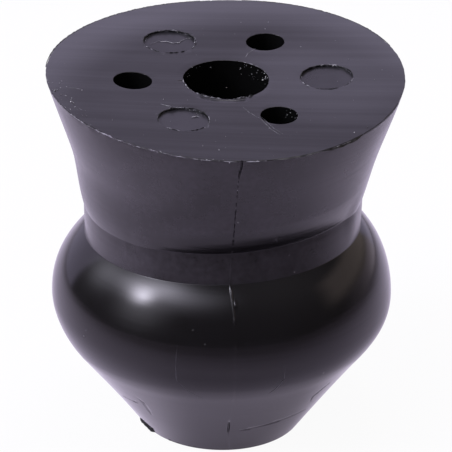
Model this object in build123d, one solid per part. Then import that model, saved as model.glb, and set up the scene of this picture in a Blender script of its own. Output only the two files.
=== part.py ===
"""Moulded rubber stopper, one solid piece of rubber.

From the top down: a flared head with a flat face, a straight neck band, a round bulge and
a tapered foot. A blind bore runs down the axis from the head face. Three blind pin holes
and three shallow ejector marks stand in turn round it. The mould's two halves met in the
YZ plane and left a fine raised seam down each side of the part.

Millimetres. Z is the axis, and the flat of the foot lies on Z = 0.
"""

import os
from math import acos, degrees, sqrt

from build123d import *

# Outline, from the head down to the foot
HEAD_DIAMETER = 75.0
HEAD_CONE_LENGTH = 27.0  # head face to the crease
NECK_DIAMETER = 58.3
NECK_LENGTH = 7.1  # crease to the groove above the bulge
BULGE_STAND_OUT = 6.85  # how far the bulge stands out from the neck, on the radius
BULGE_HEIGHT = 29.9  # widest circle of the bulge above the foot
SHOULDER_RADIUS = 21.0  # round of the bulge above its widest circle
UNDERSIDE_RADIUS = 15.8  # round of the bulge below it
FLANK_ANGLE = 38.0  # slope where the round ends, measured from the axis
FOOT_DIAMETER = 35.8
CREASE_FILLET = 0.5
GROOVE_FILLET = 0.4

# Bore in the head face
BORE_DIAMETER = 18.0
BORE_DEPTH = 46.0

# Pin holes and ejector marks, one set between the other
SET_COUNT = 3
PIN_HOLE_DIAMETER = 8.0
PIN_HOLE_CIRCLE = 39.0
PIN_HOLE_DEPTH = 25.0
EJECTOR_MARK_DIAMETER = 11.0
EJECTOR_MARK_CIRCLE = 42.0
EJECTOR_MARK_DEPTH = 0.6

# Mould seam
SEAM_WIDTH = 0.4
SEAM_HEIGHT = 0.15

# Radii and levels that follow from the sizes above
head_radius = HEAD_DIAMETER / 2
neck_radius = NECK_DIAMETER / 2
bulge_radius = neck_radius + BULGE_STAND_OUT
foot_radius = FOOT_DIAMETER / 2
shoulder_centre = bulge_radius - SHOULDER_RADIUS
underside_centre = bulge_radius - UNDERSIDE_RADIUS
neck_from_centre = neck_radius - shoulder_centre
groove_level = BULGE_HEIGHT + sqrt(SHOULDER_RADIUS**2 - neck_from_centre**2)
crease_level = groove_level + NECK_LENGTH
head_level = crease_level + HEAD_CONE_LENGTH
set_pitch = 360.0 / SET_COUNT


def half_section():
    """The part's half section in the YZ plane, with Y as the radius."""
    crease = (neck_radius, crease_level)
    groove = (neck_radius, groove_level)
    head_rim = (head_radius, head_level)
    foot_edge = (foot_radius, 0)
    shoulder_sweep = degrees(acos(neck_from_centre / SHOULDER_RADIUS))

    shoulder = CenterArc((shoulder_centre, BULGE_HEIGHT), SHOULDER_RADIUS, 0, shoulder_sweep)
    underside = CenterArc((underside_centre, BULGE_HEIGHT), UNDERSIDE_RADIUS, 0, -FLANK_ANGLE)
    flank = TangentArc(underside @ 1, foot_edge, tangent=underside % 1)
    rest = Polyline(foot_edge, (0, 0), (0, head_level), head_rim, crease, groove)

    section = make_face(Curve() + [shoulder, underside, flank, rest])
    section = fillet(corner_at(section, crease), CREASE_FILLET)
    section = fillet(corner_at(section, groove), GROOVE_FILLET)
    return Plane.YZ * section


def corner_at(section, point):
    """The corner of a flat section that lies nearest to a point of its plane."""
    return section.vertices().sort_by_distance(Vector(*point))[0]


def mould_seam(section):
    """A thin plate in the YZ plane that stands out of the part all down both sides."""
    side = offset(section, SEAM_HEIGHT, kind=Kind.INTERSECTION)
    both_sides = side + mirror(side, Plane.XZ)
    reach = 2 * (max(head_radius, bulge_radius) + SEAM_HEIGHT)
    between_faces = Plane.YZ * Rectangle(reach, head_level, align=(Align.CENTER, Align.MIN))
    return extrude(both_sides & between_faces, SEAM_WIDTH / 2, both=True)


def blind_hole(diameter, depth):
    """The space of a blind hole, ending on the head face."""
    hole = Cylinder(diameter / 2, depth, align=(Align.CENTER, Align.CENTER, Align.MAX))
    return Pos(0, 0, head_level) * hole


def ring_of_holes(diameter, depth, circle, start_angle):
    """The spaces of the holes that stand evenly on one circle."""
    places = PolarLocations(circle / 2, SET_COUNT, start_angle)
    return [place * blind_hole(diameter, depth) for place in places]


def stopper_body():
    """The moulded stopper with its seam, bore, pin holes and ejector marks."""
    section = half_section()
    body = revolve(section, Axis.Z) + mould_seam(section)
    body -= blind_hole(BORE_DIAMETER, BORE_DEPTH)
    body -= ring_of_holes(PIN_HOLE_DIAMETER, PIN_HOLE_DEPTH, PIN_HOLE_CIRCLE, set_pitch / 2)
    body -= ring_of_holes(EJECTOR_MARK_DIAMETER, EJECTOR_MARK_DEPTH, EJECTOR_MARK_CIRCLE, 0)
    return body.solid()


os.makedirs("parts", exist_ok=True)
stopper = stopper_body()
stopper.label = "stopper_body"
stopper.color = Color(0.05, 0.05, 0.055)
export_step(stopper, "parts/stopper_body.step")
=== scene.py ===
"""Looks of a moulded rubber stopper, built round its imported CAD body.

Lengths are metres in the frame's own axes: Z is the stopper's axis and Z = 0 its foot.
Azimuths are degrees about that axis from +X, so the front of the stopper is at -90.
"""

import logging
import math
from collections.abc import Callable
from dataclasses import dataclass, replace
from enum import Enum
from random import Random

import bmesh
import bpy
from mathutils import Euler, Matrix, Vector, noise


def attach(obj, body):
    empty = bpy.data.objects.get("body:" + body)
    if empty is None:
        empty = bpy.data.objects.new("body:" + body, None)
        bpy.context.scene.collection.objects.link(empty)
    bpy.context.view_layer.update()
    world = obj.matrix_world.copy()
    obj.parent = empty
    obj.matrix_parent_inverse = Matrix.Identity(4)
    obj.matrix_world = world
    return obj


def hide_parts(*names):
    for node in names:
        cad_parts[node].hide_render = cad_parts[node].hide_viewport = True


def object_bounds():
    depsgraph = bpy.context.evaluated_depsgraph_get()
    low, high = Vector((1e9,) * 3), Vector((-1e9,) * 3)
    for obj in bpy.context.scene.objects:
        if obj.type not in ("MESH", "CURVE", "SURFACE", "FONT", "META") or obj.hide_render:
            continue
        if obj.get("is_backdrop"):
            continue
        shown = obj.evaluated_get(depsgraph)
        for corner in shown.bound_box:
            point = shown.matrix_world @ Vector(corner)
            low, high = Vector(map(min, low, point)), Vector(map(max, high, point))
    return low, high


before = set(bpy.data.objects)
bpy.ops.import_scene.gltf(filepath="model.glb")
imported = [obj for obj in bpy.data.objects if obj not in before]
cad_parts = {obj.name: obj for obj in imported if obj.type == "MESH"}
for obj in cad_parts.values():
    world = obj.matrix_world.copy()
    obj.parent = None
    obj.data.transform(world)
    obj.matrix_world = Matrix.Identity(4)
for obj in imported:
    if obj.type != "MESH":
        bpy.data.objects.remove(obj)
CAD_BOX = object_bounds()

LOG = logging.getLogger("stopper")
MM = 0.001
UP = Vector((0.0, 0.0, 1.0))
BODY = "root"
NODE = "stopper_body"
DRAWN_IN = "drawn_in"
FADE = 0.8 * MM
MARK_AZIMUTHS = (0.0, 120.0, 240.0)
MARK_RING = 21.0 * MM
MARK_RADIUS = 5.5 * MM
BORE_RADIUS = 9.0 * MM

Settle = Callable[[Vector], Vector]
Socket = bpy.types.NodeSocket
Colour = tuple[float, float, float]


class Finish(Enum):
    """The body's finishes, by material slot."""

    SIDE = 0
    FACE = 1
    PAD = 2
    WALL = 3
    EDGE = 4
    CONE = 5


class Place(Enum):
    """Where a mark lies, and so what its points say."""

    FACE = "x and y on the head face"
    SIDE = "azimuth and level on the side"


@dataclass(frozen=True)
class Outline:
    """The stopper's true half section, as radii and levels."""

    head_radius: float = 37.5 * MM
    neck_radius: float = 29.15 * MM
    bulge_radius: float = 36.0 * MM
    foot_radius: float = 17.9 * MM
    head_cone_length: float = 27.0 * MM
    neck_length: float = 7.1 * MM
    bulge_level: float = 29.9 * MM
    shoulder_round: float = 21.0 * MM
    underside_round: float = 15.8 * MM
    flank_angle: float = math.radians(38.0)
    crease_fillet: float = 0.25 * MM
    groove_fillet: float = 0.15 * MM
    edge_round: float = 0.12 * MM
    face_radii: tuple[float, ...] = (
        2.0, 7.0, 11.0, 14.0, 17.0, 20.0, 23.0, 26.0, 29.0, 32.0, 34.5, 36.3, 37.1,
    )
    cone_spans: int = 84
    neck_spans: int = 6
    shoulder_spans: int = 44
    underside_spans: int = 18
    flank_spans: int = 28
    flank_samples: int = 24
    corner_spans: int = 4
    foot_corner_spans: int = 3

    def on_round(self, round_radius: float, angle: float) -> Vector:
        """Radius and level of a point on one of the bulge's two rounds.

        Args:
            round_radius: radius of the round.
            angle: angle above the bulge's widest circle.

        Returns:
            The point.
        """
        radius = self.bulge_radius - round_radius + round_radius * math.cos(angle)
        return Vector((radius, self.bulge_level + round_radius * math.sin(angle)))

    @property
    def shoulder_sweep(self) -> float:
        """Angle of the shoulder's round, from its widest circle to the groove."""
        centre = self.bulge_radius - self.shoulder_round
        return math.acos((self.neck_radius - centre) / self.shoulder_round)

    @property
    def groove_level(self) -> float:
        """Level of the groove above the bulge."""
        return self.bulge_level + self.shoulder_round * math.sin(self.shoulder_sweep)

    @property
    def crease_level(self) -> float:
        """Level of the crease under the head's cone."""
        return self.groove_level + self.neck_length

    @property
    def head_level(self) -> float:
        """Level of the flat head face."""
        return self.crease_level + self.head_cone_length

    @property
    def flank_top(self) -> Vector:
        """Radius and level where the underside's round ends and the flank starts."""
        return self.on_round(self.underside_round, -self.flank_angle)

    def flank(self, steps: int) -> list[Vector]:
        """The shallow hollow arc from the underside's round to the foot's edge.

        Args:
            steps: number of spans on the arc.

        Returns:
            Points as radius and level, from the top down, without the first.
        """
        foot = Vector((self.foot_radius, 0.0))
        chord = foot - self.flank_top
        tangent = Vector((-math.sin(self.flank_angle), -math.cos(self.flank_angle)))
        turn = 2 * tangent.angle_signed(chord)
        radius = chord.length / (2 * math.sin(turn / 2)) if abs(turn) > 1e-6 else 0.0
        points = []
        for step in range(1, steps + 1):
            share = step / steps
            if not radius:
                points.append(self.flank_top + chord * share)
                continue
            reach = 2 * radius * math.sin(turn * share / 2)
            heading = Matrix.Rotation(-turn * share / 2, 2) @ tangent
            points.append(self.flank_top + heading * reach)
        return points

    def rows(self) -> list[Vector]:
        """The outline's points, as radius and level, from the head face to the foot's edge.

        Returns:
            The points of the half section, in order.
        """
        rim = Vector((self.head_radius, self.head_level))
        crease = Vector((self.neck_radius, self.crease_level))
        groove = Vector((self.neck_radius, self.groove_level))
        foot = Vector((self.foot_radius, 0.0))
        bends = self.corner_spans
        rows = [Vector((radius * MM, self.head_level)) for radius in self.face_radii]
        rows += rounded_corner(Vector((0.0, self.head_level)), rim, crease, self.edge_round, bends)
        rows += spaced(rows[-1], crease, self.cone_spans)
        rows += rounded_corner(rim, crease, groove, self.crease_fillet, bends)
        rows += spaced(rows[-1], groove, self.neck_spans)
        sweep = evenly(self.shoulder_sweep, 0.0, self.shoulder_spans)
        shoulder = [self.on_round(self.shoulder_round, angle) for angle in sweep]
        rows += rounded_corner(crease, groove, shoulder[1], self.groove_fillet, bends)
        rows += shoulder[1:]
        sweep = evenly(0.0, -self.flank_angle, self.underside_spans)
        rows += [self.on_round(self.underside_round, angle) for angle in sweep[1:]]
        flank = self.flank(self.flank_spans)
        rows += flank[:-1]
        rows += rounded_corner(flank[-2], foot, Vector((0.0, 0.0)), self.edge_round, self.foot_corner_spans)
        return rows

    def radius_at(self, level: float) -> float:
        """The side's radius at a level.

        Args:
            level: height above the foot.

        Returns:
            The radius there, with sharp corners.
        """
        if level >= self.crease_level:
            share = (level - self.crease_level) / self.head_cone_length
            return self.neck_radius + (self.head_radius - self.neck_radius) * min(share, 1.0)
        if level >= self.groove_level:
            return self.neck_radius
        rise = level - self.bulge_level
        rounds = ((self.shoulder_round, self.bulge_level), (self.underside_round, self.flank_top.y))
        for round_radius, lowest in rounds:
            if level >= lowest:
                return self.bulge_radius - round_radius + math.sqrt(round_radius**2 - rise**2)
        above = self.flank_top
        for point in self.flank(self.flank_samples):
            if level >= point.y:
                share = (above.y - level) / (above.y - point.y)
                return above.x + (point.x - above.x) * share
            above = point
        return self.foot_radius

    def outwards_at(self, azimuth: float, level: float) -> Vector:
        """The side's outward direction.

        Args:
            azimuth: degrees about the axis.
            level: height above the foot.

        Returns:
            A unit vector square to the side.
        """
        step = 0.05 * MM
        low, high = max(level - step, 0.0), min(level + step, self.head_level)
        slope = math.atan2(self.radius_at(high) - self.radius_at(low), high - low)
        return turned_to(azimuth) @ Vector((math.cos(slope), 0.0, -math.sin(slope)))

    def on_side(self, azimuth: float, level: float, lift: float = 0.0) -> Vector:
        """A point on the side.

        Args:
            azimuth: degrees about the axis.
            level: height above the foot.
            lift: distance that the point stands off the surface.

        Returns:
            The point in the frame's axes.
        """
        foot = turned_to(azimuth) @ Vector((self.radius_at(level), 0.0, level))
        return foot + self.outwards_at(azimuth, level) * lift


@dataclass(frozen=True)
class Station:
    """How far the cooled rubber stands off its true outline at one level."""

    level: float
    drift: float = 0.0
    stand_out: float = 0.0
    lift_right: float = 0.0
    lift_back: float = 0.0
    rise: float = 0.0

    def blend(self, other: "Station", share: float) -> "Station":
        """The station a share of the way to another one."""
        pairs = zip(vars(self).values(), vars(other).values())
        return Station(*(here + (there - here) * share for here, there in pairs))


@dataclass(frozen=True)
class Distortion:
    """The moulding's small departures from round and square, as the rubber shrank.

    A lift is what a point at the head's radius rises, and falls off towards the axis.
    """

    outline: Outline
    dish: float = 0.5 * MM
    saddle: float = 0.35 * MM
    saddle_azimuth: float = math.radians(40.0)
    oval: float = 0.35 * MM
    lobes: float = 0.55 * MM
    hollow: float = 1.3 * MM
    hollow_azimuth: float = math.radians(-73.0)
    hollow_left: float = math.radians(60.0)
    hollow_right: float = math.radians(50.0)
    hollow_rise: float = 8.0 * MM
    hollow_bow: float = 1.3
    hollow_fullness: float = 0.6
    hollow_end: float = 0.35
    ripple: float = 0.03 * MM
    ripple_length: float = 14.0 * MM

    def stations(self) -> list[Station]:
        """The stations from the foot up.

        Returns:
            The stations, each at its level.
        """
        outline = self.outline
        middle = (outline.crease_level + outline.head_level) / 2
        return [
            Station(0.0, stand_out=-0.5 * MM),
            Station(outline.flank_top.y, 0.0, -0.4 * MM, 0.8 * MM, -0.6 * MM),
            Station(outline.bulge_level, -0.2 * MM, 0.2 * MM),
            Station(outline.groove_level, -0.2 * MM, 0.2 * MM, 1.3 * MM, -2.0 * MM),
            Station(outline.crease_level, -0.2 * MM, 0.4 * MM, 1.4 * MM, -1.7 * MM),
            Station(middle, stand_out=-0.6 * MM),
            Station(outline.head_level, lift_right=-0.3 * MM, lift_back=-0.1 * MM, rise=0.5 * MM),
        ]

    def crease_hollow(self, turn: float, level: float) -> float:
        """How far the side is sunk round the crease, where the rubber drew in at the front right.

        Args:
            turn: angle about the axis, in radians.
            level: height above the foot.

        Returns:
            The depth of the hollow there.
        """
        outline = self.outline
        turned = turn - self.hollow_azimuth
        away = turned / self.hollow_right if turned > 0 else -turned / self.hollow_left
        if away >= 1.0:
            return 0.0
        above = level - outline.crease_level
        share = max(1 - above / self.hollow_rise if above > 0 else 1 + above / outline.neck_length, 0.0)
        round_share = math.cos(away * math.pi / 2)
        end_share = smooth_step(round_share / self.hollow_end)
        bowed = share**self.hollow_bow if above > 0 else share
        return self.hollow * bowed * round_share**self.hollow_fullness * end_share

    def settle(self) -> Settle:
        """Makes the function that moves a point of the true outline to where the rubber is.

        Returns:
            The function.
        """
        stations = self.stations()
        spans = list(zip(stations, stations[1:]))
        outline = self.outline
        middle = stations[-2].level

        def move(point: Vector) -> Vector:
            """Moves one point.

            Args:
                point: a point of the true outline.

            Returns:
                Where the rubber is.
            """
            level = min(max(point.z, 0.0), outline.head_level)
            low, high = next((span for span in spans if span[1].level >= level), spans[-1])
            here = low.blend(high, smooth_step((level - low.level) / (high.level - low.level)))
            radius = math.hypot(point.x, point.y)
            turn = math.atan2(point.y, point.x)
            reach = radius / outline.head_radius
            head_share = (max(level - middle, 0.0) / (outline.head_level - middle)) ** 2
            sideways = here.stand_out - self.crease_hollow(turn, level)
            sideways += head_share * (self.oval * math.cos(2 * turn) + self.lobes * math.sin(3 * turn))
            sideways += self.ripple * noise.noise(point / self.ripple_length)
            sideways *= min(radius / (0.7 * outline.radius_at(level)), 1.0) ** 2
            lift = here.rise + reach * (here.lift_right * math.cos(turn) + here.lift_back * math.sin(turn))
            saddle = self.saddle * math.cos(2 * (turn - self.saddle_azimuth))
            lift += head_share * reach**2 * (self.dish + saddle)
            return point + Vector((
                here.drift + sideways * math.cos(turn),
                sideways * math.sin(turn),
                lift,
            ))

        return move


def evenly(start: float, end: float, steps: int) -> list[float]:
    """Evenly spaced values from start to end, with both ends."""
    return [start + (end - start) * step / steps for step in range(steps + 1)]


def smooth_step(share: float) -> float:
    """A share, held from 0 to 1, that starts and ends level."""
    held = min(max(share, 0.0), 1.0)
    return held * held * (3 - 2 * held)


def turned_to(azimuth: float) -> Matrix:
    """The turn about the axis that takes +X to an azimuth in degrees."""
    return Matrix.Rotation(math.radians(azimuth), 3, "Z")


def spaced(start: Vector, end: Vector, spans: int) -> list[Vector]:
    """Points between two others, without either end."""
    return [start.lerp(end, span / spans) for span in range(1, spans)]


def rounded_corner(before: Vector, corner: Vector, after: Vector, radius: float, steps: int) -> list[Vector]:
    """The points that round a corner of an outline, with a support point at each end.

    Args:
        before: a point on the run that comes to the corner.
        corner: the sharp corner.
        after: a point on the run that leaves it.
        radius: radius of the round.
        steps: number of spans on the round.

    Returns:
        The points in order along the outline.
    """
    back, ahead = (before - corner).normalized(), (after - corner).normalized()
    half = back.angle(ahead) / 2
    trim = radius / math.tan(half)
    centre = corner + (back + ahead).normalized() * (radius / math.sin(half))
    first, last = corner + back * trim - centre, corner + ahead * trim - centre
    sweep = first.angle_signed(last)
    arc = [centre + Matrix.Rotation(-sweep * step / steps, 2) @ first for step in range(steps + 1)]
    support = 0.35 * radius
    return [arc[0] + back * support, *arc, arc[-1] + ahead * support]


def link_mesh(name: str, shape: bmesh.types.BMesh) -> bpy.types.Object:
    """Writes a bmesh to a new object of the scene and frees it.

    Args:
        name: the object's name.
        shape: the finished shape.

    Returns:
        The new object, at the origin.
    """
    mesh = bpy.data.meshes.new(name)
    shape.to_mesh(mesh)
    shape.free()
    piece = bpy.data.objects.new(name, mesh)
    bpy.context.scene.collection.objects.link(piece)
    return piece


def spin_rows(
    shape: bmesh.types.BMesh, rows: list[Vector], start: float, sectors: list[tuple[float, int]],
) -> None:
    """Spins an open outline through a full turn about the axis, sector by sector.

    Args:
        shape: the bmesh that takes the shape.
        rows: points as radius and level.
        start: azimuth of the first sector's start, in degrees.
        sectors: each sector's angle in degrees and its number of steps, adding up to 360.
    """
    line = [shape.verts.new(turned_to(start) @ Vector((row.x, 0.0, row.y))) for row in rows]
    last = line + [shape.edges.new(pair) for pair in zip(line, line[1:])]
    for angle, steps in sectors:
        spun = bmesh.ops.spin(
            shape, geom=last, cent=(0, 0, 0), axis=(0, 0, 1), dvec=(0, 0, 0), angle=math.radians(angle),
            steps=steps, use_merge=len(sectors) == 1, use_normal_flip=False, use_duplicate=False,
        )
        last = spun["geom_last"]
    bmesh.ops.remove_doubles(shape, verts=shape.verts, dist=0.5e-6)


def cap_ends(shape: bmesh.types.BMesh) -> None:
    """Closes the open rings of a spun outline and turns every face outwards.

    Args:
        shape: the spun bmesh.
    """
    rims = [edge for edge in shape.edges if edge.is_boundary]
    bmesh.ops.edgeloop_fill(shape, edges=rims)
    bmesh.ops.recalc_face_normals(shape, faces=shape.faces)


def draw_strand(
    shape: bmesh.types.BMesh, points: list[Vector], outwards: list[Vector], half_widths: list[float],
    depth_share: float, sides: int,
) -> None:
    """Adds a closed tapered strand along a line of points.

    Args:
        shape: the bmesh that takes the strand.
        points: the strand's middle line.
        outwards: the direction away from the surface at each point.
        half_widths: half the strand's width at each point.
        depth_share: the strand's thickness as a share of its width.
        sides: number of sides of its section.
    """
    frames = []
    for number, (point, outward) in enumerate(zip(points, outwards)):
        before, after = points[max(number - 1, 0)], points[min(number + 1, len(points) - 1)]
        along = (after - before).normalized()
        across = outward.cross(along).normalized()
        half = half_widths[number]
        axes = Matrix((across * half, along.cross(across) * half * depth_share, along * half))
        frames.append(Matrix.Translation(point) @ axes.transposed().to_4x4())
    made = bmesh.ops.create_circle(shape, cap_ends=True, segments=sides, radius=1.0, matrix=frames[0])
    end = made["verts"][0].link_faces[0]
    for frame_before, frame_here in zip(frames, frames[1:]):
        grown = bmesh.ops.extrude_face_region(shape, geom=[end, *end.edges, *end.verts])["geom"]
        end = next(item for item in grown if isinstance(item, bmesh.types.BMFace))
        bmesh.ops.transform(shape, matrix=frame_here @ frame_before.inverted(), verts=end.verts)


def steady_waver(place: Vector) -> Vector:
    """A wavering vector at a place, made of plain noise because that repeats itself from run to run."""
    shifts = ((9.3, -1.5, -7.9), (0.0, 0.0, 0.0), (-4.1, 6.7, 2.9))
    return Vector([noise.noise(place + Vector(shift)) for shift in shifts])


@dataclass(frozen=True)
class Mark:
    """A line on the surface: a cut into it, or a fine raised scuff."""

    place: Place
    points: tuple[tuple[float, float], ...]
    width: float
    lift: float = 0.0
    depth_share: float = 0.5
    wander: float = 0.05 * MM

    def line(self, outline: Outline, spacing: float = 0.6 * MM) -> tuple[list[Vector], list[Vector]]:
        """The mark's middle line on the true outline.

        Args:
            outline: the stopper's outline.
            spacing: distance between points along the line.

        Returns:
            The points, and the outward direction at each.
        """
        points, outwards = [], []
        for (a_start, b_start), (a_end, b_end) in zip(self.points, self.points[1:]):
            start, end = self.spot(outline, a_start, b_start), self.spot(outline, a_end, b_end)
            spans = max(1, round((end[0] - start[0]).length / spacing))
            for span in range(spans + (len(points) == 0)):
                share = (span + (len(points) > 0)) / spans if points else 0.0
                spot, outward = self.spot(
                    outline, a_start + (a_end - a_start) * share, b_start + (b_end - b_start) * share,
                )
                waver = steady_waver(spot / (1.3 * MM)) * self.wander
                points.append(spot + waver - outward * waver.dot(outward))
                outwards.append(outward)
        return points, outwards

    def spot(self, outline: Outline, first: float, second: float) -> tuple[Vector, Vector]:
        """A point of the mark and the outward direction there.

        Args:
            outline: the stopper's outline.
            first: x or azimuth, as the mark's place says.
            second: y or level.

        Returns:
            The point and the direction.
        """
        if self.place is Place.FACE:
            return Vector((first * MM, second * MM, outline.head_level + self.lift)), UP
        return outline.on_side(first, second * MM, self.lift), outline.outwards_at(first, second * MM)

    def draw(self, shape: bmesh.types.BMesh, outline: Outline, settle: Settle | None, sides: int) -> None:
        """Adds the mark's strand to a bmesh.

        Args:
            shape: the bmesh that takes the strand.
            outline: the stopper's outline.
            settle: moves points to where the rubber is, or None for a cut made before that.
            sides: number of sides of its section.
        """
        points, outwards = self.line(outline)
        if settle:
            points = [settle(point) for point in points]
        count = len(points) - 1
        halves = [
            self.width / 2 * (0.25 + 0.75 * min(1.0, 4 * number / count, 4 * (count - number) / count))
            for number in range(count + 1)
        ]
        draw_strand(shape, points, outwards, halves, self.depth_share, sides)


@dataclass(frozen=True)
class BlindHole:
    """A blind hole or shallow mark in the head face, with its torn mouth."""

    radius: float
    depth: float
    ring_radius: float = 0.0
    azimuth: float = 0.0
    mouth_round: float = 0.1 * MM
    raggedness: float = 0.04 * MM
    columns: int = 120
    seed: int = 1

    def rows(self, overshoot: float) -> list[Vector]:
        """The outline of the space to cut, from the floor up, level with the head face at zero.

        Args:
            overshoot: how far it stands above the face.

        Returns:
            Points as radius and level.
        """
        wall = self.radius
        mouth = [
            Vector((wall + self.mouth_round * (1 - math.cos(angle)), -self.mouth_round * (1 - math.sin(angle))))
            for angle in evenly(0.0, math.pi / 2, 3)
        ]
        floor = Vector((wall, -self.depth))
        return [floor, *spaced(floor, mouth[0], 6), *mouth, mouth[-1] + Vector((0.0, overshoot))]

    def draw(self, shape: bmesh.types.BMesh, head_level: float) -> None:
        """Adds the closed shape that cuts this hole to a bmesh.

        Args:
            shape: the bmesh of cutters.
            head_level: level of the head face.
        """
        hole = bmesh.new()
        spin_rows(hole, self.rows(overshoot=1.0 * MM), 0.0, [(360.0, self.columns)])
        for vertex in hole.verts:
            near_mouth = max(0.0, 1.0 + vertex.co.z / (4 * self.mouth_round + 0.2 * MM))
            spot = vertex.co.normalized() * 9.0 + Vector((self.seed * 7.3, 0.0, 0.0))
            torn = noise.noise(spot * 1.7) + 0.6 * noise.noise(spot * 5.0)
            vertex.co.xy *= 1.0 + self.raggedness * min(near_mouth, 1.0) * torn / self.radius
        cap_ends(hole)
        turn = math.radians(self.azimuth)
        spot = Vector((self.ring_radius * math.cos(turn), self.ring_radius * math.sin(turn), head_level))
        bmesh.ops.translate(hole, verts=hole.verts, vec=spot)
        add_shape(shape, hole)


def add_shape(shape: bmesh.types.BMesh, part: bmesh.types.BMesh) -> None:
    """Adds one bmesh to another and frees it.

    Args:
        shape: the bmesh that takes the other.
        part: the bmesh to add.
    """
    mesh = bpy.data.meshes.new("part")
    part.to_mesh(mesh)
    part.free()
    shape.from_mesh(mesh)
    bpy.data.meshes.remove(mesh)


@dataclass(frozen=True)
class MouldSeam:
    """The line where the mould's halves met, down one side of the stopper."""

    azimuth: float
    route: tuple[tuple[float, float], ...]
    slits: tuple[tuple[float, float, float], ...] = ()
    ridges: tuple[tuple[float, float, float], ...] = ()
    dashed_from: float = 0.0
    dashed_to: float = 0.0
    dash_depth: float = 0.22 * MM
    dash_length: float = 0.9 * MM
    dash_share: float = 0.6
    line_width: float = 0.26 * MM
    slit_width: float = 0.34 * MM
    ridge_width: float = 0.3 * MM
    thread: float = 0.05 * MM
    blisters: tuple[tuple[float, float, float, float], ...] = ()

    def offset_at(self, level: float) -> float:
        """How many degrees the line lies from the seam's azimuth at a level.

        Args:
            level: height above the foot.

        Returns:
            The offset in degrees.
        """
        for (high, start), (low, end) in zip(self.route, self.route[1:]):
            if level >= low * MM:
                share = (high * MM - level) / ((high - low) * MM)
                return start + (end - start) * min(max(share, 0.0), 1.0)
        return self.route[-1][1]

    def relief(self, point: Vector) -> float:
        """How far the side stands out at a point because of the seam.

        Args:
            point: a point of the true outline.

        Returns:
            The outward displacement, below zero in a slit.
        """
        level, radius = point.z, math.hypot(point.x, point.y)
        turn = math.degrees(math.atan2(point.y, point.x)) - self.azimuth - self.offset_at(level)
        sideways = math.radians(turn) * radius
        across = abs(sideways)
        if across > 1.5 * MM:
            return 0.0
        height = self.thread * bell(across / self.line_width)
        for offset, middle, reach, rise in self.blisters:
            away = math.hypot(sideways - offset * MM, (level - middle * MM) / 1.7)
            height += rise * MM * bell(away / (reach * MM))
        if self.dashed_from * MM < level < self.dashed_to * MM:
            dash = noise.noise(Vector((0.0, 3.7, level / self.dash_length)))
            dash += 0.5 * noise.noise(Vector((1.3, 0.0, level / (0.4 * self.dash_length))))
            sunk = smooth_step(dash * 4 + self.dash_share)
            height -= self.dash_depth * sunk * bell(across / self.line_width)
        for low, high, depth in self.slits:
            height -= depth * MM * self.between(level, low, high) * bell(across / self.slit_width)
        for low, high, rise in self.ridges:
            height += rise * MM * self.between(level, low, high) * bell(across / self.ridge_width)
        return height

    @staticmethod
    def between(level: float, low: float, high: float) -> float:
        """A share that is 1 inside a span of levels and fades out towards its ends.

        Args:
            level: height above the foot.
            low: the span's start, in mm.
            high: the span's end, in mm.

        Returns:
            The share.
        """
        inside = min(level - low * MM, high * MM - level)
        return smooth_step(inside / FADE)


def bell(share: float) -> float:
    """A smooth hump of height 1, gone at a share of 1."""
    return (1 - share * share) ** 2 if share < 1 else 0.0


class Assembly:
    """A piece of the stopper that is built bare and then dressed."""

    def build(self) -> bpy.types.Object:
        """Makes the bare piece."""
        raise NotImplementedError

    def dress(self, *finishes: "MouldedRubber | TornRubber") -> bpy.types.Object:
        """Builds the piece, gives it its finishes and sets it on the frame's body.

        Args:
            *finishes: the finish of each material slot, in order.

        Returns:
            The dressed piece.
        """
        piece = self.build()
        for finish in finishes:
            piece.data.materials.append(finish.material())
        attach(piece, BODY)
        return piece


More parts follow.
